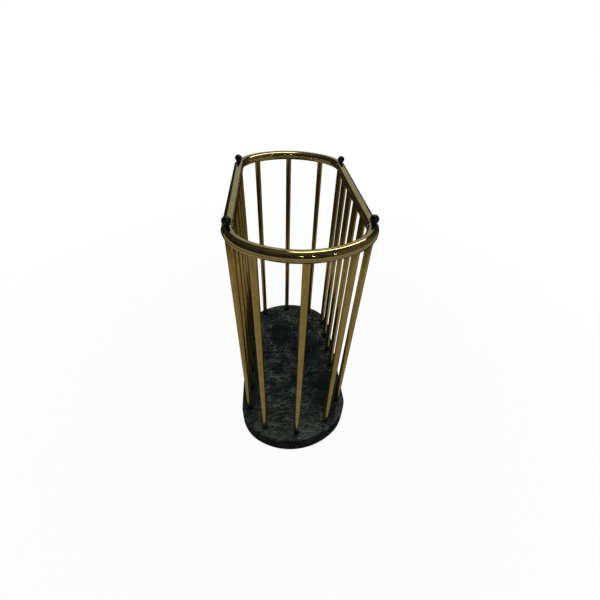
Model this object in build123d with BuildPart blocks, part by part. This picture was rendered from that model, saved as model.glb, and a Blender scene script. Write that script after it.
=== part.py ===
from build123d import *
from math import atan2, cos, degrees, radians, sin, sqrt
import os

# Umbrella stand: a cage of upright brass rods between a stone slab and a ring of brass tube.
# Millimetres. X runs along the long axis, Z is up, and the origin is on the floor under the middle.

# Plan of the cage, along the centres of the rods
half_width = 100.0  # middle to the rods of a long side
post_x = 117.0  # middle to a corner post, along X
nose_x = 180.0  # middle to the tip of a bent end
corner_turn = 12.0  # degrees between a side tube and the start of a bent end
corner_radius = 66.0  # the tighter bend next to a corner post
side_rod_count = 4  # between the two posts of a long side
end_rod_y = 66.0  # middle to the outer rods of a bent end

# Heights
foot_height = 2.0
slab_height = 42.0
ring_height = 522.0  # centre line of the ring

# Slab
slab_margin = 18.5  # from the rods' centre line to the edge of the stone
slab_top_edge = 1.8
slab_bottom_edge = 1.0
socket_depth = 6.0
socket_clearance = 0.1

# Tubes
ring_radius = 8.75
ring_wall = 1.5
rod_radius = 5.5
rod_wall = 1.0
rod_top_below_ring = 4.0  # the rods end inside the ring, this far under its centre line
hole_clearance = 0.05

# Corner joint
joint_arm = 16.0
joint_clearance = 0.05
stud_radius = 2.45
stud_hole_radius = 2.5
stud_reach_down = 16.0
stud_reach_up = 10.0
stud_spare = 1.0  # empty bore above the end of the stud
mitre_spare = 4.0  # length of tube past a post, which the mitre cuts off
finial_seat = 7.9  # height of the spot-faced flat above the ring's centre line

# Finials
ball_radius = 6.6
ball_rise = 14.2  # centre of the ball above the ring's centre line
neck_radius = 4.3
neck_fillet = 0.6

# Plugs inside the rods, base screws, washers and feet
plug_length = 15.0
thread_radius = 2.5
screw_radius = 2.45
screw_reach = 11.0  # how far a screw goes into its plug
screw_head_radius = 4.75
screw_head_height = 3.0
screw_slot_width = 1.2
screw_slot_depth = 1.3
screw_slot_length = 11.0  # runs past the head at both ends
washer_radius = 7.0
washer_hole_radius = 2.75
washer_thickness = 1.2
bore_radius = 2.9
counterbore_radius = 8.0
counterbore_depth = 12.0
foot_radius = 11.0
foot_edge = 0.6
foot_x = 110.0
foot_y = 58.0

# Worked out from the sizes above
slab_top = foot_height + slab_height
rod_bottom = slab_top - socket_depth
rod_top = ring_height - rod_top_below_ring
ring_bore = ring_radius - ring_wall
rod_bore = rod_radius - rod_wall
joint_seat = ring_radius - rod_top_below_ring
neck_bottom = ring_height + finial_seat
stud_length = neck_bottom + stud_reach_up - (rod_top - stud_reach_down)
turn = radians(corner_turn)
end_direction = (cos(turn), -sin(turn))
corner_centre_x = post_x - corner_radius * sin(turn)
corner_centre_y = half_width - corner_radius * cos(turn)
# The nose arc is tangent to both corner arcs and passes through (nose_x, 0)
tip_gap = nose_x - corner_centre_x
nose_radius = (tip_gap**2 + corner_centre_y**2 - corner_radius**2) / (2 * (tip_gap - corner_radius))
nose_centre_x = nose_x - nose_radius
nose_half_angle = degrees(atan2(corner_centre_y, corner_centre_x - nose_centre_x))
corner_sweep = 90.0 - corner_turn - nose_half_angle
end_rod_x = nose_centre_x + sqrt(nose_radius**2 - end_rod_y**2)

# Places of the uprights in plan
side_pitch = 2 * post_x / (side_rod_count + 1)
side_xs = [-post_x + side_pitch * (i + 1) for i in range(side_rod_count)]
post_places = [(x, y) for x in (-post_x, post_x) for y in (-half_width, half_width)]
side_places = [(x, y) for y in (-half_width, half_width) for x in side_xs]
front_places = [(end_rod_x, -end_rod_y), (nose_x, 0.0), (end_rod_x, end_rod_y)]
back_places = [(-x, y) for x, y in front_places]
end_places = front_places + back_places
all_places = post_places + side_places + end_places
foot_places = [(x, y) for x in (-foot_x, 0.0, foot_x) for y in (-foot_y, foot_y)]

os.makedirs("parts", exist_ok=True)


def save(piece, name):
    """Label a finished part and write it as a STEP file of the same name."""
    piece.part.label = name
    export_step(piece.part, f"parts/{name}.step")


def bent_end(start, direction):
    """Draw the three tangent arcs of a bent end from a corner post, turning clockwise."""
    first = JernArc(start, direction, corner_radius, -corner_sweep)
    nose = JernArc(first @ 1, first % 1, nose_radius, -2 * nose_half_angle)
    return JernArc(nose @ 1, nose % 1, corner_radius, -corner_sweep)


def drill(places, low, radius, height):
    """Cut upright round holes into the part being built, from a height upwards."""
    with Locations(Plane.XY.offset(low)):
        with Locations(*places):
            Cylinder(radius, height, align=(Align.CENTER, Align.CENTER, Align.MIN), mode=Mode.SUBTRACT)


def mitre_plane(x_side, y_side):
    """Plane of the joint at one corner, with its normal pointing from the side tube to the bent end."""
    half_turn = turn / 2
    normal = (x_side * cos(half_turn), -y_side * sin(half_turn), 0)
    return Plane(origin=(x_side * post_x, y_side * half_width, ring_height), z_dir=normal)


# ---- Stone slab ----
with BuildPart() as base_slab:
    with BuildSketch(Plane.XY.offset(foot_height)):
        with BuildLine():
            Line((-post_x, half_width), (post_x, half_width))
            bent_end((post_x, half_width), end_direction)
            Line((post_x, -half_width), (-post_x, -half_width))
            bent_end((-post_x, -half_width), (-end_direction[0], -end_direction[1]))
        make_face()
        offset(amount=slab_margin)
    extrude(amount=slab_height)
    fillet(base_slab.faces().sort_by(Axis.Z)[-1].edges(), slab_top_edge)
    fillet(base_slab.faces().sort_by(Axis.Z)[0].edges(), slab_bottom_edge)
    with Locations(Plane.XY.offset(slab_top)):
        with Locations(*all_places):
            Hole(rod_radius + socket_clearance, depth=socket_depth)
            Hole(bore_radius)
    with Locations(Plane.XY.offset(foot_height).rotated((180, 0, 0))):
        with Locations(*[(x, -y) for x, y in all_places]):
            Hole(counterbore_radius, depth=counterbore_depth)
save(base_slab, "base_slab")

# ---- Feet ----
for number, place in enumerate(foot_places, 1):
    with BuildPart() as foot:
        with BuildSketch(Plane.XY):
            with Locations(place):
                Circle(foot_radius)
        extrude(amount=foot_height)
        chamfer(foot.faces().sort_by(Axis.Z)[0].edges(), foot_edge)
    save(foot, f"foot_pad_{number}")


# ---- Uprights: posts, side rods and end rods are the same tube ----
def save_upright(place, name):
    with BuildPart() as upright:
        with BuildSketch(Plane.XY.offset(rod_bottom)):
            with Locations(place):
                Circle(rod_radius)
                Circle(rod_bore, mode=Mode.SUBTRACT)
        extrude(amount=rod_top - rod_bottom)
    save(upright, name)


for number, place in enumerate(post_places, 1):
    save_upright(place, f"corner_post_{number}")
for number, place in enumerate(side_places, 1):
    save_upright(place, f"side_rod_{number}")
for number, place in enumerate(end_places, 1):
    save_upright(place, f"end_rod_{number}")

# ---- Threaded plugs in the rod ends, one group for the bottom and one for the top of the posts ----
with BuildPart() as rod_bottom_plugs:
    with BuildSketch(Plane.XY.offset(rod_bottom)):
        with Locations(*all_places):
            Circle(rod_bore)
            Circle(thread_radius, mode=Mode.SUBTRACT)
    extrude(amount=plug_length)
save(rod_bottom_plugs, "rod_bottom_plugs")

with BuildPart() as post_top_plugs:
    with BuildSketch(Plane.XY.offset(rod_top - plug_length)):
        with Locations(*post_places):
            Circle(rod_bore)
            Circle(stud_hole_radius, mode=Mode.SUBTRACT)
    extrude(amount=plug_length)
save(post_top_plugs, "post_top_plugs")

# ---- Base screws and washers, up from the counterbores ----
washer_bottom = foot_height + counterbore_depth - washer_thickness
with BuildPart() as base_washers:
    with BuildSketch(Plane.XY.offset(washer_bottom)):
        with Locations(*all_places):
            Circle(washer_radius)
            Circle(washer_hole_radius, mode=Mode.SUBTRACT)
    extrude(amount=washer_thickness)
save(base_washers, "base_washers")

head_bottom = washer_bottom - screw_head_height
with BuildPart() as base_screws:
    with BuildSketch(Plane.XY.offset(head_bottom)):
        with Locations(*all_places):
            Circle(screw_head_radius)
    extrude(amount=screw_head_height)
    with BuildSketch(Plane.XY.offset(head_bottom)):
        with Locations(*all_places):
            Circle(screw_radius)
    extrude(amount=rod_bottom + screw_reach - head_bottom)
    with BuildSketch(Plane.XY.offset(head_bottom)):
        with Locations(*all_places):
            Rectangle(screw_slot_length, screw_slot_width)
    extrude(amount=screw_slot_depth, mode=Mode.SUBTRACT)
save(base_screws, "base_screws")

# ---- Ring: the holes that every tube of it needs ----
def drill_ring(rods, posts):
    """Cut the rod holes in the underside, and the stud hole and finial seat over each post."""
    drill(rods + posts, ring_height - ring_radius, rod_radius + hole_clearance, ring_radius)
    drill(posts, ring_height, stud_hole_radius, ring_radius)
    drill(posts, ring_height + finial_seat, neck_radius + hole_clearance, ring_radius)


# ---- Ring: two straight side tubes ----
with BuildPart() as ring_side_left:
    with BuildSketch(Plane.YZ.offset(-post_x - mitre_spare)):
        with Locations((half_width, ring_height)):
            Circle(ring_radius)
            Circle(ring_bore, mode=Mode.SUBTRACT)
    extrude(amount=2 * (post_x + mitre_spare))
    split(bisect_by=mitre_plane(1, 1), keep=Keep.BOTTOM)
    split(bisect_by=mitre_plane(-1, 1), keep=Keep.BOTTOM)
    drill_ring([(x, half_width) for x in side_xs], [(-post_x, half_width), (post_x, half_width)])
save(ring_side_left, "ring_side_left")

with BuildPart() as ring_side_right:
    mirror(ring_side_left.part, about=Plane.XZ)
save(ring_side_right, "ring_side_right")

# ---- Ring: two bent end tubes ----
lead_x = post_x - mitre_spare * end_direction[0]
lead_y = half_width - mitre_spare * end_direction[1]
with BuildPart() as ring_end_front:
    with BuildLine(Plane.XY.offset(ring_height)):
        Line((lead_x, lead_y), (post_x, half_width))
        bent_end((post_x, half_width), end_direction)
        Line((post_x, -half_width), (lead_x, -lead_y))
    with BuildSketch(Plane(origin=(lead_x, lead_y, ring_height), z_dir=(*end_direction, 0))):
        Circle(ring_radius)
        Circle(ring_bore, mode=Mode.SUBTRACT)
    sweep()
    split(bisect_by=mitre_plane(1, 1), keep=Keep.TOP)
    split(bisect_by=mitre_plane(1, -1), keep=Keep.TOP)
    drill_ring(front_places, [(post_x, half_width), (post_x, -half_width)])
save(ring_end_front, "ring_end_front")

with BuildPart() as ring_end_back:
    mirror(ring_end_front.part, about=Plane.YZ)
save(ring_end_back, "ring_end_back")

# ---- Corner joints: a bent brass plug inside the ring at each post, drilled for post and stud ----
plug_radius = ring_bore - joint_clearance
with BuildPart() as front_left_joint:
    with BuildSketch(Plane.YZ.offset(post_x - joint_arm)):
        with Locations((half_width, ring_height)):
            Circle(plug_radius)
    extrude(amount=joint_arm)
    with Locations((post_x, half_width, ring_height)):
        Sphere(plug_radius)
    with BuildLine(Plane.XY.offset(ring_height)):
        JernArc((post_x, half_width), end_direction, corner_radius, -degrees(joint_arm / corner_radius))
    with BuildSketch(Plane(origin=(post_x, half_width, ring_height), z_dir=(*end_direction, 0))):
        Circle(plug_radius)
    sweep()
    drill([(post_x, half_width)], ring_height - ring_radius, rod_radius + hole_clearance, joint_seat)
    drill([(post_x, half_width)], ring_height - ring_radius, stud_hole_radius, 2 * ring_radius)

corner_number = 0
for x_side in (-1, 1):
    for y_side in (-1, 1):
        corner_number += 1
        with BuildPart() as ring_joint:
            add(front_left_joint.part)
            if x_side < 0:
                mirror(about=Plane.YZ, mode=Mode.REPLACE)
            if y_side < 0:
                mirror(about=Plane.XZ, mode=Mode.REPLACE)
        save(ring_joint, f"ring_joint_{corner_number}")

# ---- Studs that pull the finials down on the ring, into the posts ----
with BuildPart() as finial_studs:
    with BuildSketch(Plane.XY.offset(rod_top - stud_reach_down)):
        with Locations(*post_places):
            Circle(stud_radius)
    extrude(amount=stud_length)
save(finial_studs, "finial_studs")

# ---- Finials: ball and neck turned in one, bored from below for the stud ----
ball_centre = ring_height + ball_rise
ball_top = ball_centre + ball_radius
neck_corner = (neck_radius, ball_centre - sqrt(ball_radius**2 - neck_radius**2))
bore_top = neck_bottom + stud_reach_up + stud_spare
for number, place in enumerate(post_places, 1):
    with BuildPart() as finial:
        with BuildSketch(Plane(origin=(*place, 0), x_dir=(1, 0, 0), z_dir=(0, -1, 0))) as profile:
            with BuildLine():
                Polyline((0, bore_top), (stud_hole_radius, bore_top), (stud_hole_radius, neck_bottom))
                Polyline((stud_hole_radius, neck_bottom), (neck_radius, neck_bottom), neck_corner)
                ThreePointArc(neck_corner, (ball_radius, ball_centre), (0, ball_top))
                Line((0, ball_top), (0, bore_top))
            make_face()
            fillet(profile.vertices().sort_by_distance(neck_corner)[0], neck_fillet)
        revolve(axis=Axis((*place, 0), (0, 0, 1)))
    save(finial, f"ball_finial_{number}")
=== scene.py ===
import bmesh
import bpy
from math import atan2, cos, pi, radians, sin
from mathutils import Matrix, Vector


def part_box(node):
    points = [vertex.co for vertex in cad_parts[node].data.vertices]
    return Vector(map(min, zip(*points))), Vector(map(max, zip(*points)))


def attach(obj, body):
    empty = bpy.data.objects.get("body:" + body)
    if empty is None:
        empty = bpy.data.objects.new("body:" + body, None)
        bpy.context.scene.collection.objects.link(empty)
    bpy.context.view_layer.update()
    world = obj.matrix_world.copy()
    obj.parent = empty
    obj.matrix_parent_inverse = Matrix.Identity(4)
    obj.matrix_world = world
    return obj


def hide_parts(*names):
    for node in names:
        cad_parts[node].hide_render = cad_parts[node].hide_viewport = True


# Umbrella stand: a brass cage on a dark marble slab. Metres, X along the stand, Z up.
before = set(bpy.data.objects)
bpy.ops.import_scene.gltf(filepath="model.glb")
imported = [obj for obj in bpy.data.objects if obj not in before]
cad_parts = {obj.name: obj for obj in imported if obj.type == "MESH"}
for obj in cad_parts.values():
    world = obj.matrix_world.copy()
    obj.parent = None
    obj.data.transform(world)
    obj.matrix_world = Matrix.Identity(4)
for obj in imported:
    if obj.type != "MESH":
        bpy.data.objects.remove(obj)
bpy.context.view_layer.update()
scene = bpy.context.scene

# seen from above one bent end
view = {
    "place": (0.4667, -0.0431, 0.7417),
    "yaw": -0.1590,  # radians off the stand's long axis
    "pitch": 0.6551,  # downwards
    "roll": 0.0695,
    "lens": 18.09,
    "shift": (-0.0159, -0.0684),
}

# the cage's layout, the same sizes as the frame has
cage = {
    "halfWidth": 0.100,  # middle to a side tube
    "postX": 0.117,  # middle to a corner post
    "noseX": 0.180,  # middle to the tip of a bent end
    "cornerTurn": radians(12),  # between a side tube and the start of a bent end
    "cornerRadius": 0.066,  # the tighter bend beside a corner
    "ringHeight": 0.522,
    "slabTop": 0.044,
}


def makeCamera():
    zAxis = Vector((0, 0, 1))
    level = Vector((-cos(view["yaw"]), -sin(view["yaw"]), 0))
    side = level.cross(zAxis)
    forward = cos(view["pitch"]) * level - sin(view["pitch"]) * zAxis
    top = side.cross(forward)
    right = cos(view["roll"]) * side + sin(view["roll"]) * top
    up = cos(view["roll"]) * top - sin(view["roll"]) * side
    lens = bpy.data.cameras.new("camera")
    lens.sensor_width = 36
    lens.lens = view["lens"]
    lens.shift_x, lens.shift_y = view["shift"]
    lens.clip_start = 0.01
    camera = bpy.data.objects.new("camera", lens)
    turn = Matrix((right, up, -forward)).transposed().to_4x4()
    camera.matrix_world = Matrix.Translation(view["place"]) @ turn
    scene.collection.objects.link(camera)
    scene.camera = camera


makeCamera()
scene.view_settings.view_transform = "Standard"
print("camera ready")


# small helpers for node trees: feeds go to sockets, as a link or as a value
def put(tree, kind, feeds=None, **settings):
    node = tree.nodes.new(kind)
    for key, value in settings.items():
        setattr(node, key, value)
    for key, value in (feeds or {}).items():
        if isinstance(value, bpy.types.NodeSocket):
            tree.links.new(value, node.inputs[key])
        else:
            node.inputs[key].default_value = value
    return node


def maths(tree, operation, first, second=0.0, clamp=False):
    return put(tree, "ShaderNodeMath", {0: first, 1: second}, operation=operation, use_clamp=clamp).outputs[0]


def vectorMaths(tree, operation, first, second=None):
    feeds = {0: first} if second is None else {0: first, 1: second}
    return put(tree, "ShaderNodeVectorMath", feeds, operation=operation).outputs["Vector"]


def scaledBy(tree, vector, amount):
    feeds = {0: vector, "Scale": amount}
    return put(tree, "ShaderNodeVectorMath", feeds, operation="SCALE").outputs["Vector"]


def dot(tree, first, second):
    feeds = {0: first, 1: second}
    return put(tree, "ShaderNodeVectorMath", feeds, operation="DOT_PRODUCT").outputs["Value"]


def lengthOf(tree, vector):
    return put(tree, "ShaderNodeVectorMath", {0: vector}, operation="LENGTH").outputs["Value"]


def split(tree, vector):
    return put(tree, "ShaderNodeSeparateXYZ", {0: vector}).outputs


def join(tree, x=0.0, y=0.0, z=0.0):
    return put(tree, "ShaderNodeCombineXYZ", {0: x, 1: y, 2: z}).outputs[0]


def objectPlace(tree):
    return put(tree, "ShaderNodeTexCoord").outputs["Object"]


def noise(tree, vector, scale, detail=2.0, rough=0.5, warp=0.0):
    feeds = {"Vector": vector, "Scale": scale, "Detail": detail, "Roughness": rough, "Distortion": warp}
    return put(tree, "ShaderNodeTexNoise", feeds).outputs["Fac"]


def remap(tree, value, low, high, toLow=0.0, toHigh=1.0, smooth=True):
    feeds = {"Value": value, "From Min": low, "From Max": high, "To Min": toLow, "To Max": toHigh}
    kind = "SMOOTHSTEP" if smooth else "LINEAR"
    return put(tree, "ShaderNodeMapRange", feeds, interpolation_type=kind).outputs["Result"]


def blendColour(tree, factor, first, second):
    feeds = {0: factor, 6: first, 7: second}
    return put(tree, "ShaderNodeMix", feeds, data_type="RGBA").outputs[2]


def stretched(tree, vector, scale, turn=(0, 0, 0)):
    return put(tree, "ShaderNodeMapping", {"Vector": vector, "Rotation": turn, "Scale": scale}).outputs[0]


def rgba(colour):
    return (*colour, 1.0)


def newMaterial(name):
    material = bpy.data.materials.new(name)
    material.use_nodes = True
    tree = material.node_tree
    tree.nodes.clear()
    shader = put(tree, "ShaderNodeBsdfPrincipled")
    out = put(tree, "ShaderNodeOutputMaterial")
    tree.links.new(shader.outputs[0], out.inputs[0])
    return material, tree, shader


def connect(tree, shader, **sockets):
    for name, value in sockets.items():
        tree.links.new(value, shader.inputs[name.replace("_", " ")])


# brass, drawn tube with a little age on it, and painted shade near black at the rods' feet
brassTubes = {
    "bright": (0.86, 0.60, 0.155),
    "aged": (0.55, 0.37, 0.090),
    "spots": (0.28, 0.17, 0.05),
    "ageing": 0.45,  # how far the aged tone comes through
    "spotShare": 0.35,
    "streakAgeing": 0.22,
    "streakStretch": (14, 520, 520),  # along the tube and round it
    "mottleScale": 70.0,
    "spotScale": 430.0,
    "waveStretch": (22, 60, 60),
    "scratchStretch": (60, 2600, 2600),
    "waves": 0.00008,  # metres of slow unevenness in the drawn tube
    "scratches": 0.000004,
    # painted shade: a rod's foot is coloured near black where it meets the slab, in place of its shadow and
    # dark reflection in the marble
    "footPaintedShade": (0.012, 0.009, 0.005),
    "footShadeHeights": (0.052, 0.068),  # where the painted shade at a rod's foot fades out
    "footShadeShare": 0.95,
    "footShadeUneven": 0.004,
}


def brassMaterial(name, look, followsTube):
    material, tree, shader = newMaterial(name)
    if followsTube:
        where = put(tree, "ShaderNodeAttribute", attribute_name="tubeFrame").outputs["Vector"]
    else:
        where = objectPlace(tree)
    streaks = noise(tree, stretched(tree, where, look["streakStretch"]), 1.0, 3.0, 0.6)
    mottle = noise(tree, where, look["mottleScale"], 4.0, 0.6, 0.6)
    spots = noise(tree, where, look["spotScale"], 2.0, 0.5)
    age = maths(tree, "MULTIPLY", remap(tree, mottle, 0.32, 0.72), look["ageing"])
    age = maths(tree, "ADD", age, remap(tree, streaks, 0.35, 0.8, 0.0, look["streakAgeing"]), clamp=True)
    colour = blendColour(tree, age, rgba(look["bright"]), rgba(look["aged"]))
    spotMask = maths(tree, "MULTIPLY", remap(tree, spots, 0.66, 0.76), look["spotShare"])
    colour = blendColour(tree, spotMask, colour, rgba(look["spots"]))
    # painted shade at the foot: the colour fades to near black low down, where a rod stands on the slab
    height = split(tree, objectPlace(tree))[2]
    height = maths(tree, "ADD", height, maths(tree, "MULTIPLY", mottle, look["footShadeUneven"]))
    foot = remap(tree, height, *look["footShadeHeights"], look["footShadeShare"], 0.0)
    colour = blendColour(tree, foot, colour, rgba(look["footPaintedShade"]))
    wear = maths(tree, "ADD", maths(tree, "MULTIPLY", mottle, 0.6), maths(tree, "MULTIPLY", streaks, 0.4))
    rough = remap(tree, wear, 0.3, 0.7, look["roughLow"], look["roughHigh"])
    waves = noise(tree, stretched(tree, where, look["waveStretch"]), 1.0, 1.0)
    feeds = {"Height": waves, "Distance": look["waves"], "Strength": 1.0}
    bump = put(tree, "ShaderNodeBump", feeds).outputs[0]
    lines = noise(tree, stretched(tree, where, look["scratchStretch"]), 1.0, 2.0)
    feeds = {"Height": lines, "Distance": look["scratches"], "Normal": bump}
    bump = put(tree, "ShaderNodeBump", feeds).outputs[0]
    shader.inputs["Metallic"].default_value = 1.0
    connect(tree, shader, Base_Color=colour, Roughness=rough, Normal=bump)
    return material


# the ring is smoother than the rods and painted paler and less orange: its tone partly stands in for the cool
# light the ring mirrors; the hidden turned pieces are duller
ringLookPaintedPale = dict(brassTubes, bright=(0.86, 0.645, 0.235), aged=(0.58, 0.42, 0.145))
ringLookPaintedPale.update(roughLow=0.035, roughHigh=0.10)
rodLook = dict(brassTubes, roughLow=0.08, roughHigh=0.19)
turnedLook = dict(brassTubes, roughLow=0.22, roughHigh=0.38, ageing=0.7)
ringBrass = brassMaterial("ringBrass", ringLookPaintedPale, True)
rodBrass = brassMaterial("rodBrass", rodLook, True)
turnedBrass = brassMaterial("turnedBrass", turnedLook, False)

# dark green marble
marbleLook = {
    "black": (0.0050, 0.0068, 0.0072),
    "deep": (0.0112, 0.0136, 0.0130),
    "green": (0.027, 0.032, 0.026),
    "veins": (0.205, 0.225, 0.175),
    "gold": (0.155, 0.150, 0.085),
    "shine": 0.15,
    # broad places that stay nearly black, partly the marble's own dark patches and partly painted shade, the
    # rods' shadow and reflection on the slab: middle and half sizes, metres
    "darkPatchesAndPaintedShade": (
        ((-0.085, -0.022), (0.050, 0.034)),
        ((-0.018, 0.045), (0.055, 0.042)),
        ((0.095, 0.080), (0.080, 0.034)),
        ((0.040, -0.100), (0.140, 0.026)),
    ),
    "darkOpenness": 0.16,  # how much of the pattern comes through there
    # where the yellow veins gather
    "goldPlaces": (((0.150, -0.045), (0.040, 0.045)), ((0.165, 0.015), (0.030, 0.040))),
    # hair lines: stretch along X, Y, Z, turn in plan, half width and strength
    "hairSets": (((96, 14, 40), 0.10, 0.030, 0.50), ((170, 26, 60), 0.05, 0.050, 0.35)),
    # crossing veins: the same, between long thin cells
    "crackSets": (
        ((76, 24, 40), 0.42, 0.044, 0.95),
        ((70, 20, 36), -0.36, 0.038, 0.85),
        ((38, 62, 36), 0.90, 0.028, 0.60),
    ),
    "goldSet": ((46, 13, 30), -0.45, 0.040, 0.75),
    "drift": 0.03,  # metres by which the pattern wanders
    "driftScale": 11.0,
    "cloudScale": 17.0,
    "fineStretch": (150, 60, 80),
    "patchScale": 38.0,
    "grainScale": 900.0,
    # the edge is honed, the top polished
    "edgeHeights": (0.0415, 0.0435),
    "edgeRough": 0.60,
    "topRough": (0.12, 0.22),
}


def veinMask(tree, where, scale, turn, width, warp=0.3):
    field = noise(tree, stretched(tree, where, scale, turn), 1.0, 3.0, 0.5, warp)
    gap = maths(tree, "ABSOLUTE", maths(tree, "SUBTRACT", field, 0.5))
    return remap(tree, gap, 0.0, width, 1.0, 0.0)


def crackMask(tree, where, scale, turn, width):
    feeds = {"Vector": stretched(tree, where, scale, turn), "Scale": 1.0}
    cells = put(tree, "ShaderNodeTexVoronoi", feeds, feature="DISTANCE_TO_EDGE").outputs["Distance"]
    return remap(tree, cells, 0.0, width, 1.0, 0.0)


def placeMask(tree, where, places):
    whole = None
    for middle, half in places:
        away = vectorMaths(tree, "SUBTRACT", where, (*middle, 0.0))
        away = vectorMaths(tree, "DIVIDE", vectorMaths(tree, "MULTIPLY", away, (1, 1, 0)), (*half, 1.0))
        mask = remap(tree, lengthOf(tree, away), 0.45, 1.15, 1.0, 0.0)
        whole = mask if whole is None else maths(tree, "MAXIMUM", whole, mask)
    return whole


def marbleMaterial(look):
    material, tree, shader = newMaterial("darkMarble")
    plain = objectPlace(tree)
    feeds = {"Vector": plain, "Scale": look["driftScale"], "Detail": 3.0}
    drift = put(tree, "ShaderNodeTexNoise", feeds).outputs["Color"]
    drift = vectorMaths(tree, "SUBTRACT", drift, (0.5, 0.5, 0.5))
    where = vectorMaths(tree, "ADD", plain, vectorMaths(tree, "MULTIPLY", drift, (look["drift"],) * 3))
    # partly painted shade: the dark places also darken the slab where the rods' shadow and reflection fall
    darkAndShadedPlaces = placeMask(tree, where, look["darkPatchesAndPaintedShade"])
    openness = remap(tree, darkAndShadedPlaces, 0.0, 1.0, 1.0, look["darkOpenness"], smooth=False)
    clouds = noise(tree, where, look["cloudScale"], 4.0, 0.6)
    fine = noise(tree, stretched(tree, where, look["fineStretch"]), 1.0, 5.0, 0.7)
    colour = blendColour(tree, remap(tree, clouds, 0.36, 0.56), rgba(look["black"]), rgba(look["deep"]))
    light = maths(tree, "MULTIPLY", remap(tree, clouds, 0.42, 0.62), remap(tree, fine, 0.38, 0.62, 0.1, 1.0))
    colour = blendColour(tree, maths(tree, "MULTIPLY", light, openness), colour, rgba(look["green"]))
    veins = 0.0
    for makeMask, veinSets in ((veinMask, look["hairSets"]), (crackMask, look["crackSets"])):
        for number, (scale, turn, width, strength) in enumerate(veinSets):
            mask = makeMask(tree, where, scale, (0, 0, turn), width)
            shifted = vectorMaths(tree, "ADD", where, (0.3 * number, 0, 0))
            patches = noise(tree, shifted, look["patchScale"], 2.0)
            mask = maths(tree, "MULTIPLY", mask, remap(tree, patches, 0.42, 0.62, 0.05, strength))
            veins = maths(tree, "MAXIMUM", mask, veins)
    colour = blendColour(tree, maths(tree, "MULTIPLY", veins, openness), colour, rgba(look["veins"]))
    scale, turn, width, strength = look["goldSet"]
    gold = veinMask(tree, where, scale, (0, 0, turn), width, 0.6)
    goldShare = maths(tree, "MULTIPLY", placeMask(tree, where, look["goldPlaces"]), strength)
    gold = maths(tree, "MULTIPLY", gold, goldShare)
    colour = blendColour(tree, gold, colour, rgba(look["gold"]))
    grain = noise(tree, plain, look["grainScale"], 2.0)
    colour = blendColour(tree, remap(tree, grain, 0.3, 0.7, 0.0, 0.30), colour, rgba(look["black"]))
    rough = remap(tree, split(tree, plain)[2], *look["edgeHeights"], look["edgeRough"], 0.0)
    rough = maths(tree, "ADD", rough, remap(tree, fine, 0.3, 0.7, *look["topRough"]))
    bump = put(tree, "ShaderNodeBump", {"Height": fine, "Distance": 0.00002, "Strength": 0.4}).outputs[0]
    shader.inputs["IOR"].default_value = 1.5
    shader.inputs["Specular IOR Level"].default_value = look["shine"]
    connect(tree, shader, Base_Color=colour, Roughness=rough, Normal=bump)
    return material


marble = marbleMaterial(marbleLook)


# black balls, rubber, zinc and putty
speckledLooks = {
    "ballBlack": {
        "tones": ((0.004, 0.004, 0.004), (0.009, 0.009, 0.008)),
        "rough": (0.03, 0.08),
        "metallic": 0.0,
        "grain": 260.0,
        "depth": 0.000006,
    },
    "padRubber": {
        "tones": ((0.020, 0.020, 0.021), (0.045, 0.045, 0.046)),
        "rough": (0.6, 0.85),
        "metallic": 0.0,
        "grain": 900.0,
        "depth": 0.00006,
    },
    "screwZinc": {
        "tones": ((0.48, 0.48, 0.47), (0.68, 0.68, 0.66)),
        "rough": (0.22, 0.42),
        "metallic": 1.0,
        "grain": 700.0,
        "depth": 0.00001,
    },
    "footPutty": {
        "tones": ((0.012, 0.010, 0.008), (0.030, 0.024, 0.018)),
        "rough": (0.45, 0.7),
        "metallic": 0.0,
        "grain": 800.0,
        "depth": 0.00002,
    },
}


def speckledMaterial(name, look):
    material, tree, shader = newMaterial(name)
    where = objectPlace(tree)
    dark, light = look["tones"]
    broad = noise(tree, where, look["grain"] * 0.2, 3.0)
    grain = noise(tree, where, look["grain"], 3.0, 0.6)
    mixed = maths(tree, "ADD", maths(tree, "MULTIPLY", broad, 0.5), maths(tree, "MULTIPLY", grain, 0.5))
    colour = blendColour(tree, remap(tree, mixed, 0.35, 0.65), rgba(dark), rgba(light))
    feeds = {"Height": grain, "Distance": look["depth"], "Strength": 0.6}
    bump = put(tree, "ShaderNodeBump", feeds).outputs[0]
    shader.inputs["Metallic"].default_value = look["metallic"]
    rough = remap(tree, mixed, 0.35, 0.65, *look["rough"])
    connect(tree, shader, Base_Color=colour, Roughness=rough, Normal=bump)
    return material


speckled = {name: speckledMaterial(name, look) for name, look in speckledLooks.items()}

cadLooks = {
    "base_slab": marble,
    "foot_pad": speckled["padRubber"],
    "ball_finial": speckled["ballBlack"],
    "base_screws": speckled["screwZinc"],
    "base_washers": speckled["screwZinc"],
    "finial_studs": turnedBrass,
    "ring_joint": turnedBrass,
    "rod_bottom_plugs": turnedBrass,
    "post_top_plugs": turnedBrass,
}
for nodeName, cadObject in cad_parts.items():
    for start, material in cadLooks.items():
        if nodeName.startswith(start):
            for slot in cadObject.material_slots:
                slot.material = material
print("materials ready")


# helpers for the Geometry Nodes trees
def newTree(name, inputs):
    tree = bpy.data.node_groups.new(name, "GeometryNodeTree")
    tree.interface.new_socket("Geometry", in_out="INPUT", socket_type="NodeSocketGeometry")
    for label, kind in inputs.items():
        tree.interface.new_socket(label, in_out="INPUT", socket_type="NodeSocket" + kind)
    tree.interface.new_socket("Geometry", in_out="OUTPUT", socket_type="NodeSocketGeometry")
    given = put(tree, "NodeGroupInput")
    return tree, given.outputs


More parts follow.
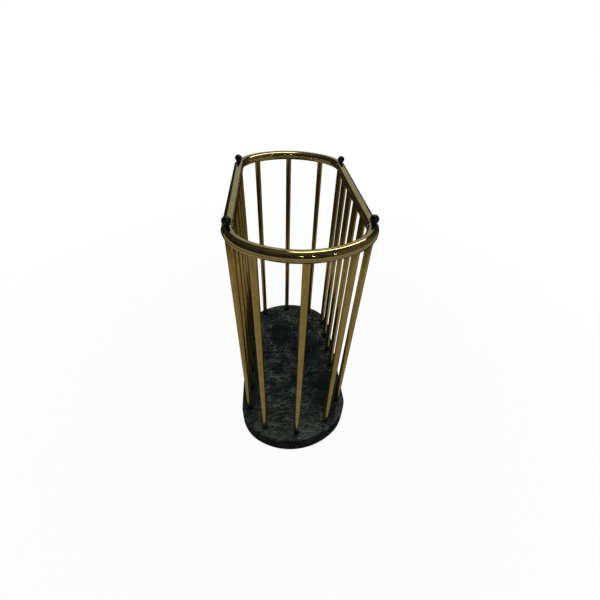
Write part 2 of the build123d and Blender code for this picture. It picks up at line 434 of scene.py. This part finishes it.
def finishTree(tree, geometry, material):
    whole = put(tree, "GeometryNodeRealizeInstances", {"Geometry": geometry}).outputs[0]
    smooth = put(tree, "GeometryNodeSetShadeSmooth", {"Geometry": whole}).outputs[0]
    dressed = put(tree, "GeometryNodeSetMaterial", {"Geometry": smooth, "Material": material}).outputs[0]
    put(tree, "NodeGroupOutput", {"Geometry": dressed})


def position(tree):
    return put(tree, "GeometryNodeInputPosition").outputs[0]


def circle(tree, sides, radius):
    return put(tree, "GeometryNodeCurvePrimitiveCircle", {"Resolution": sides, "Radius": radius}).outputs[0]


def keep(tree, geometry, name, value, kind="FLOAT_VECTOR"):
    feeds = {"Geometry": geometry, "Name": name, "Value": value}
    return put(tree, "GeometryNodeStoreNamedAttribute", feeds, data_type=kind, domain="POINT").outputs[0]


def recall(tree, name, kind="FLOAT_VECTOR"):
    return put(tree, "GeometryNodeInputNamedAttribute", {"Name": name}, data_type=kind).outputs[0]


def grow(name, mesh, tree, values):
    seedObject = bpy.data.objects.new(name, mesh)
    scene.collection.objects.link(seedObject)
    modifier = seedObject.modifiers.new("grow", "NODES")
    modifier.node_group = tree
    for item in tree.interface.items_tree:
        if item.in_out == "INPUT" and item.name in values:
            modifier[item.identifier] = values[item.name]
    bpy.context.view_layer.update()
    evaluated = seedObject.evaluated_get(bpy.context.evaluated_depsgraph_get())
    grown = bpy.data.meshes.new_from_object(evaluated)
    seedObject.modifiers.remove(modifier)
    seedObject.data = grown
    return seedObject


def pointMesh(name, places, turns=None):
    mesh = bpy.data.meshes.new(name)
    mesh.from_pydata(places, [], [])
    if turns:
        mesh.attributes.new("turn", "FLOAT", "POINT").data.foreach_set("value", turns)
    return mesh


# a round tube swept along a path, as two skins that the saw joins later
def sweptTubeTree():
    inputs = {"Radius": "Float", "Wall": "Float", "Sides": "Int", "Step": "Float", "Material": "Material"}
    tree, given = newTree("sweptTube", inputs)
    path = put(tree, "GeometryNodeMeshToCurve", {"Mesh": given["Geometry"]}).outputs[0]
    feeds = {"Curve": path, "Length": given["Step"]}
    path = put(tree, "GeometryNodeResampleCurve", feeds, mode="LENGTH").outputs[0]
    along = put(tree, "GeometryNodeSplineParameter").outputs["Length"]
    path = keep(tree, path, "along", along, "FLOAT")
    skins = put(tree, "GeometryNodeJoinGeometry")
    for inner in (False, True):
        radius = given["Radius"]
        if inner:
            radius = maths(tree, "SUBTRACT", given["Radius"], given["Wall"])
        hoop = keep(tree, circle(tree, given["Sides"], radius), "across", position(tree))
        skin = put(tree, "GeometryNodeCurveToMesh", {"Curve": path, "Profile Curve": hoop}).outputs[0]
        if inner:
            skin = put(tree, "GeometryNodeFlipFaces", {"Mesh": skin}).outputs[0]
        tree.links.new(skin, skins.inputs[0])
    parts = split(tree, recall(tree, "across"))
    local = join(tree, recall(tree, "along", "FLOAT"), parts[0], parts[1])
    whole = keep(tree, skins.outputs[0], "tubeFrame", local)
    finishTree(tree, whole, given["Material"])
    return tree


# upright tubes: one turned tube, stood on every point and bowed a little
def uprightTree():
    inputs = {"Radius": "Float", "Wall": "Float", "Length": "Float", "Sides": "Int", "Cuts": "Int",
              "Bow": "Float", "Seed": "Int", "Material": "Material"}
    tree, given = newTree("uprightTubes", inputs)
    middle = maths(tree, "SUBTRACT", given["Radius"], maths(tree, "MULTIPLY", given["Wall"], 0.5))
    hoop = circle(tree, given["Sides"], middle)
    feeds = {"Width": given["Wall"], "Height": given["Length"]}
    wall = put(tree, "GeometryNodeCurvePrimitiveQuadrilateral", feeds).outputs[0]
    wall = put(tree, "GeometryNodeSubdivideCurve", {"Curve": wall, "Cuts": given["Cuts"]}).outputs[0]
    tube = put(tree, "GeometryNodeCurveToMesh", {"Curve": hoop, "Profile Curve": wall}).outputs[0]
    lift = join(tree, z=maths(tree, "MULTIPLY", given["Length"], 0.5))
    tube = put(tree, "GeometryNodeSetPosition", {"Geometry": tube, "Offset": lift}).outputs[0]
    parts = split(tree, position(tree))
    tube = keep(tree, tube, "tubeFrame", join(tree, parts[2], parts[0], parts[1]))
    feeds = {0: (-1, -1, 0), 1: (1, 1, 1), "Seed": given["Seed"]}
    chance = put(tree, "FunctionNodeRandomValue", feeds, data_type="FLOAT_VECTOR").outputs[0]
    points = keep(tree, given["Geometry"], "chance", chance)
    stood = put(tree, "GeometryNodeInstanceOnPoints", {"Points": points, "Instance": tube}).outputs[0]
    whole = put(tree, "GeometryNodeRealizeInstances", {"Geometry": stood}).outputs[0]
    local = split(tree, recall(tree, "tubeFrame"))
    share = maths(tree, "DIVIDE", local[0], given["Length"])
    bend = maths(tree, "MULTIPLY", maths(tree, "SINE", maths(tree, "MULTIPLY", share, pi)), given["Bow"])
    sway = vectorMaths(tree, "MULTIPLY", scaledBy(tree, recall(tree, "chance"), bend), (1, 1, 0))
    whole = put(tree, "GeometryNodeSetPosition", {"Geometry": whole, "Offset": sway}).outputs[0]
    own = join(tree, maths(tree, "MULTIPLY", split(tree, recall(tree, "chance"))[2], 3.0))
    whole = keep(tree, whole, "tubeFrame", vectorMaths(tree, "ADD", recall(tree, "tubeFrame"), own))
    finishTree(tree, whole, given["Material"])
    return tree


# a bead that runs round a rod and follows the underside of the tube it meets
def beadTree():
    inputs = {"Rod radius": "Float", "Tube radius": "Float", "Saddle": "Float", "Bead": "Float",
              "Uneven": "Float", "Grain": "Float", "Seed": "Float", "Rod sides": "Int",
              "Bead sides": "Int", "Material": "Material"}
    tree, given = newTree("jointBeads", inputs)
    hoop = circle(tree, given["Rod sides"], given["Rod radius"])
    side = split(tree, position(tree))[1]
    tubeSquare = maths(tree, "POWER", given["Tube radius"], 2.0)
    squares = maths(tree, "SUBTRACT", tubeSquare, maths(tree, "POWER", side, 2.0))
    downwards = maths(tree, "MULTIPLY", given["Saddle"], -1.0)
    drop = maths(tree, "MULTIPLY", maths(tree, "SQRT", squares), downwards)
    hoop = put(tree, "GeometryNodeSetPosition", {"Geometry": hoop, "Offset": join(tree, z=drop)}).outputs[0]
    section = circle(tree, given["Bead sides"], given["Bead"])
    bead = put(tree, "GeometryNodeCurveToMesh", {"Curve": hoop, "Profile Curve": section}).outputs[0]
    turn = join(tree, z=recall(tree, "turn", "FLOAT"))
    turn = put(tree, "FunctionNodeEulerToRotation", {0: turn}).outputs[0]
    feeds = {"Points": given["Geometry"], "Instance": bead, "Rotation": turn}
    placed = put(tree, "GeometryNodeInstanceOnPoints", feeds).outputs[0]
    whole = put(tree, "GeometryNodeRealizeInstances", {"Geometry": placed}).outputs[0]
    feeds = {"W": given["Seed"], "Scale": given["Grain"], "Detail": 1.0}
    wobble = put(tree, "ShaderNodeTexNoise", feeds, noise_dimensions="4D").outputs["Color"]
    wobble = vectorMaths(tree, "SUBTRACT", wobble, (0.5, 0.5, 0.5))
    wobble = scaledBy(tree, wobble, given["Uneven"])
    whole = put(tree, "GeometryNodeSetPosition", {"Geometry": whole, "Offset": wobble}).outputs[0]
    finishTree(tree, whole, given["Material"])
    return tree


tubeTree, rodTree, jointTree = sweptTubeTree(), uprightTree(), beadTree()


# the ring, four tubes sawn at the corners
ringTube = {
    "radius": 0.00875,
    "wall": 0.0015,
    "sides": 64,
    "step": 0.003,
    "overrun": 0.004,  # past a corner, before the saw
    "seam": 0.0003,  # the rounded edge that shows as a fine line at a corner
    "arcSteps": 40,
    "onCut": 0.00001,  # how near a sawn edge lies to its plane
    "sawDist": 0.0000001,
}


def arcPoints(centre, radius, start, end):
    steps = ringTube["arcSteps"]
    angles = [start + (end - start) * i / steps for i in range(steps + 1)]
    return [(centre[0] + radius * cos(a), centre[1] + radius * sin(a)) for a in angles]


def endPath():
    turn, radius = cage["cornerTurn"], cage["cornerRadius"]
    centreX = cage["postX"] - radius * sin(turn)
    centreY = cage["halfWidth"] - radius * cos(turn)
    gap = cage["noseX"] - centreX
    noseRadius = (gap**2 + centreY**2 - radius**2) / (2 * (gap - radius))
    noseCentre = cage["noseX"] - noseRadius
    noseAngle = atan2(centreY, centreX - noseCentre)
    corner = arcPoints((centreX, centreY), radius, pi / 2 - turn, noseAngle)
    nose = arcPoints((noseCentre, 0), noseRadius, noseAngle, -noseAngle)
    overrun = ringTube["overrun"]
    half = [(corner[0][0] - overrun * cos(turn), corner[0][1] + overrun * sin(turn))] + corner
    return half + nose[1:-1] + [(x, -y) for x, y in reversed(half)]


def liesOn(edge, place, normal):
    return all(abs((v.co - place).dot(normal)) < ringTube["onCut"] for v in edge.verts)


def saw(tube, planes):
    midWall = ringTube["radius"] - ringTube["wall"] / 2
    work = bmesh.new()
    work.from_mesh(tube.data)
    for place, normal in planes:
        everything = work.verts[:] + work.edges[:] + work.faces[:]
        bmesh.ops.bisect_plane(work, geom=everything, plane_co=place, plane_no=normal,
                               clear_outer=True, dist=ringTube["sawDist"])
        rims = [e for e in work.edges if e.is_boundary and liesOn(e, place, normal)]
        made = bmesh.ops.bridge_loops(work, edges=rims)
        for face in made["faces"]:
            face.smooth = False
        outer = [e for e in rims if min((v.co - place).length for v in e.verts) > midWall]
        bmesh.ops.bevel(work, geom=outer, offset=ringTube["seam"], segments=2, profile=0.5, affect="EDGES")
    bmesh.ops.recalc_face_normals(work, faces=work.faces[:])
    work.to_mesh(tube.data)
    work.free()


def mitrePlane(xSide, ySide, outwards):
    half = cage["cornerTurn"] / 2
    normal = Vector((xSide * cos(half), -ySide * sin(half), 0)) * outwards
    return Vector((xSide * cage["postX"], ySide * cage["halfWidth"], cage["ringHeight"])), normal


def makeRing():
    reach = cage["postX"] + ringTube["overrun"]
    left = [(-reach, cage["halfWidth"]), (reach, cage["halfWidth"])]
    front = endPath()
    pieces = {
        "ring_side_left": (left, [(-1, 1, 1), (1, 1, 1)]),
        "ring_side_right": ([(-x, -y) for x, y in left], [(-1, -1, 1), (1, -1, 1)]),
        "ring_end_front": (front, [(1, 1, -1), (1, -1, -1)]),
        "ring_end_back": ([(-x, -y) for x, y in front], [(-1, 1, -1), (-1, -1, -1)]),
    }
    for nodeName, (plan, cuts) in pieces.items():
        mesh = bpy.data.meshes.new(nodeName)
        places = [(x, y, cage["ringHeight"]) for x, y in plan]
        mesh.from_pydata(places, [(i, i + 1) for i in range(len(plan) - 1)], [])
        values = {"Radius": ringTube["radius"], "Wall": ringTube["wall"], "Sides": ringTube["sides"],
                  "Step": ringTube["step"], "Material": ringBrass}
        tube = grow(nodeName.replace("ring", "tube"), mesh, tubeTree, values)
        saw(tube, [mitrePlane(*cut) for cut in cuts])
        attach(tube, "root")
        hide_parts(nodeName)


makeRing()
print("ring ready")

# the uprights
rodTube = {
    "radius": 0.0055,
    "wall": 0.001,
    "sides": 40,
    "cuts": 11,
    "bow": 0.00035,
    "seed": 7,
}
rodGroups = {"corner_post": 4, "side_rod": 8, "end_rod": 6}


def middleOf(nodeName):
    low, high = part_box(nodeName)
    return ((low.x + high.x) / 2, (low.y + high.y) / 2)


rodPlaces = []
for group, count in rodGroups.items():
    names = [f"{group}_{i + 1}" for i in range(count)]
    places = [middleOf(n) for n in names]
    low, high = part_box(names[0])
    values = {"Radius": rodTube["radius"], "Wall": rodTube["wall"], "Length": high.z - low.z,
              "Sides": rodTube["sides"], "Cuts": rodTube["cuts"], "Bow": rodTube["bow"],
              "Seed": rodTube["seed"], "Material": rodBrass}
    seeds = pointMesh(group, [(x, y, low.z) for x, y in places])
    rods = grow(group + "s", seeds, rodTree, values)
    rods.data.set_sharp_from_angle(angle=radians(40))
    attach(rods, "root")
    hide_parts(*names)
    rodPlaces += places
print("uprights ready")

# solder under the ring, and a line of putty round each rod's foot
beads = {
    "solder": 0.00075,
    "solderUneven": 0.0006,
    "putty": 0.00045,
    "puttyUneven": 0.0002,
    "grain": 260.0,
    "seed": 3.0,
    "rodSides": 40,
    "beadSides": 10,
}


def ringDirection(place):
    x, y = abs(place[0]), abs(place[1])
    if y > cage["halfWidth"] - 0.001:
        return 0.0
    front = endPath()

    def away(i):
        return (front[i][0] - x) ** 2 + (front[i][1] - place[1]) ** 2

    nearest = min(range(1, len(front) - 1), key=away)
    before, after = front[nearest - 1], front[nearest + 1]
    angle = atan2(after[1] - before[1], after[0] - before[0])
    return angle if place[0] > 0 else pi - angle


turns = [ringDirection(p) for p in rodPlaces]
for name, height, saddle, kind, material, slot in (
    ("solderBeads", cage["ringHeight"], 1.0, "solder", ringBrass, "polished_brass"),
    ("footPutty", cage["slabTop"], 0.0, "putty", speckled["footPutty"], "foot_pads"),
):
    values = {"Rod radius": rodTube["radius"], "Tube radius": ringTube["radius"], "Saddle": saddle,
              "Bead": beads[kind], "Uneven": beads[kind + "Uneven"], "Grain": beads["grain"],
              "Seed": beads["seed"], "Rod sides": beads["rodSides"], "Bead sides": beads["beadSides"],
              "Material": material}
    lines = grow(name, pointMesh(name, [(x, y, height) for x, y in rodPlaces], turns), jointTree, values)
    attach(lines, "root")
print("joints ready")

# floor, surroundings and lamps
studio = {
    "paper": 1.0,  # how pale the floor and background look
    "floorHalf": 30,
    "floorLevel": -0.0003,
    "shadow": 0.035,  # share of the floor that takes real light and shade
    "shadowInner": 0.4,
    "shadowOuter": 1.2,
    # what the polished metal mirrors, by height of the direction, from straight down (0) to straight up (1)
    "near": ((0.000, 0.02), (0.025, 0.03), (0.040, 0.19), (0.195, 0.19), (0.225, 0.0), (1.000, 0.0)),
    "nearWay": (0.82, -0.57),
    "nearEdges": (-0.85, -0.50),
    "far": ((0.000, 0.0), (0.170, 0.0), (0.205, 0.13), (0.350, 0.09),
            (0.400, 0.055), (0.850, 0.05), (0.950, 0.0)),
    "farWay": (0.25, 0.97),
    "farEdges": (0.66, 0.93),
    "sky": ((0.000, 0.012), (0.400, 0.016), (0.640, 0.018), (0.800, 0.022), (0.960, 0.04), (1.000, 0.10)),
    "windowWay": (-0.90, 0.10, 0.42),
    "windowColour": (0.37, 0.42, 0.50),
    "windowEdges": (0.86, 0.975),
    "windowBars": 46.0,
    "stripPlace": (-0.29, 0.28, 1.33),
    "stripSize": (0.66, 0.14),
    "stripWay": (-0.165, 0.57, -0.23),
    "stripTarget": (0.15, 0.05, 0.52),
    "stripPower": 1.7,
    "lampColour": (0.86, 0.97, 1.0),
    "lampTarget": (0, 0, 0.4),
    "spots": ((1.33, 0.02, 1.47), (1.25, 0.30, 1.40), (1.10, 0.85, 1.30)),
    "spotSize": 0.05,
    "spotPower": 0.22,
    "fillPlace": (0.1, -0.4, 2.4),
    "fillSize": 2.0,
    "fillPower": 24.0,
    # a pale low card round the front, seen only in the metal
    "cardReach": 0.80,
    "cardHeights": (0.19, 0.53),
    "cardTurn": radians(110),
    "cardLevel": 0.21,
    "cardSteps": 32,
}


def seenOrMirrored(tree, seen, mirrored):
    path = put(tree, "ShaderNodeLightPath").outputs["Is Camera Ray"]
    return put(tree, "ShaderNodeMixShader", {0: path, 1: mirrored, 2: seen}).outputs[0]


def grey(level):
    return (level, level, level, 1.0)


def makeFloor():
    mesh = bpy.data.meshes.new("floor")
    size, level = studio["floorHalf"], studio["floorLevel"]
    corners = [(-size, -size, level), (size, -size, level), (size, size, level), (-size, size, level)]
    mesh.from_pydata(corners, [], [(0, 1, 2, 3)])
    floor = bpy.data.objects.new("floor", mesh)
    floor.visible_glossy = False  # the brass mirrors the surroundings instead
    floor.visible_diffuse = False
    scene.collection.objects.link(floor)
    material = bpy.data.materials.new("paleFloor")
    material.use_nodes = True
    tree = material.node_tree
    tree.nodes.clear()
    distance = lengthOf(tree, objectPlace(tree))
    share = remap(tree, distance, studio["shadowInner"], studio["shadowOuter"], studio["shadow"], 0.0)
    lit = put(tree, "ShaderNodeBsdfDiffuse", {"Color": grey(0.9)}).outputs[0]
    paper = put(tree, "ShaderNodeEmission", {"Color": grey(studio["paper"])}).outputs[0]
    seen = put(tree, "ShaderNodeMixShader", {0: share, 1: paper, 2: lit}).outputs[0]
    put(tree, "ShaderNodeOutputMaterial", {0: seen})
    mesh.materials.append(material)


def levels(tree, height, stops):
    node = put(tree, "ShaderNodeValToRGB", {"Fac": height})
    ramp = node.color_ramp
    for index, (place, level) in enumerate(stops):
        stop = ramp.elements[index] if index < 2 else ramp.elements.new(place)
        stop.position, stop.color = place, grey(level)
    return node.outputs["Color"]


def makeWorld():
    world = bpy.data.worlds.new("studio")
    world.use_nodes = True
    tree = world.node_tree
    tree.nodes.clear()
    direction = put(tree, "ShaderNodeTexCoord").outputs["Generated"]
    parts = split(tree, direction)
    height = maths(tree, "ADD", maths(tree, "MULTIPLY", parts[2], 0.5), 0.5)
    level = vectorMaths(tree, "NORMALIZE", vectorMaths(tree, "MULTIPLY", direction, (1, 1, 0)))
    colour = levels(tree, height, studio["sky"])
    for name in ("near", "far"):
        towards = (*studio[name + "Way"], 0.0)
        facing = remap(tree, dot(tree, level, towards), *studio[name + "Edges"])
        glow = scaledBy(tree, levels(tree, height, studio[name]), facing)
        colour = vectorMaths(tree, "ADD", colour, glow)
    way = Vector(studio["windowWay"]).normalized()
    window = remap(tree, dot(tree, direction, way), *studio["windowEdges"])
    bars = maths(tree, "SINE", maths(tree, "MULTIPLY", parts[1], studio["windowBars"]))
    window = maths(tree, "MULTIPLY", window, remap(tree, bars, -0.6, 0.6, 0.45, 1.1))
    colour = blendColour(tree, window, colour, rgba(studio["windowColour"]))
    mirrored = put(tree, "ShaderNodeBackground", {"Color": colour}).outputs[0]
    seen = put(tree, "ShaderNodeBackground", {"Color": grey(studio["paper"])}).outputs[0]
    put(tree, "ShaderNodeOutputWorld", {0: seenOrMirrored(tree, seen, mirrored)})
    scene.world = world


# a round lamp, or a strip when it is told which way to lie
def makeLamp(name, place, size, power, target=studio["lampTarget"], along=None):
    lamp = bpy.data.lights.new(name, "AREA")
    lamp.energy = power
    lamp.color = studio["lampColour"]
    away = (Vector(place) - Vector(target)).normalized()
    if along is None:
        lamp.shape = "DISK"
        lamp.size = size
        side = Vector((0, 0, 1)).cross(away)
    else:
        lamp.shape = "RECTANGLE"
        lamp.size, lamp.size_y = size
        side = Vector(along) - Vector(along).dot(away) * away
    side.normalize()
    turn = Matrix((side, away.cross(side), away)).transposed().to_4x4()
    holder = bpy.data.objects.new(name, lamp)
    holder.matrix_world = Matrix.Translation(place) @ turn
    holder.visible_camera = False
    scene.collection.objects.link(holder)
    return holder


def makeCard():
    steps = studio["cardSteps"]
    low, high = studio["cardHeights"]
    angles = [studio["cardTurn"] * (2 * i / steps - 1) for i in range(steps + 1)]
    rim = [(studio["cardReach"] * cos(a), studio["cardReach"] * sin(a)) for a in angles]
    mesh = bpy.data.meshes.new("paleCard")
    corners = [(x, y, low) for x, y in rim] + [(x, y, high) for x, y in rim]
    mesh.from_pydata(corners, [], [(i, i + 1, i + steps + 2, i + steps + 1) for i in range(steps)])
    material = bpy.data.materials.new("paleCard")
    material.use_nodes = True
    tree = material.node_tree
    tree.nodes.clear()
    glow = put(tree, "ShaderNodeEmission", {"Color": grey(studio["cardLevel"])}).outputs[0]
    put(tree, "ShaderNodeOutputMaterial", {0: glow})
    mesh.materials.append(material)
    card = bpy.data.objects.new("paleCard", mesh)
    card.visible_camera = card.visible_diffuse = card.visible_shadow = False
    scene.collection.objects.link(card)


makeFloor()
makeWorld()
makeCard()
makeLamp("stripLamp", studio["stripPlace"], studio["stripSize"], studio["stripPower"],
         studio["stripTarget"], studio["stripWay"])
for number, place in enumerate(studio["spots"]):
    makeLamp(f"spotLamp{number + 1}", place, studio["spotSize"], studio["spotPower"])
fill = makeLamp("fillLamp", studio["fillPlace"], studio["fillSize"], studio["fillPower"])
fill.visible_glossy = False
print("studio ready")
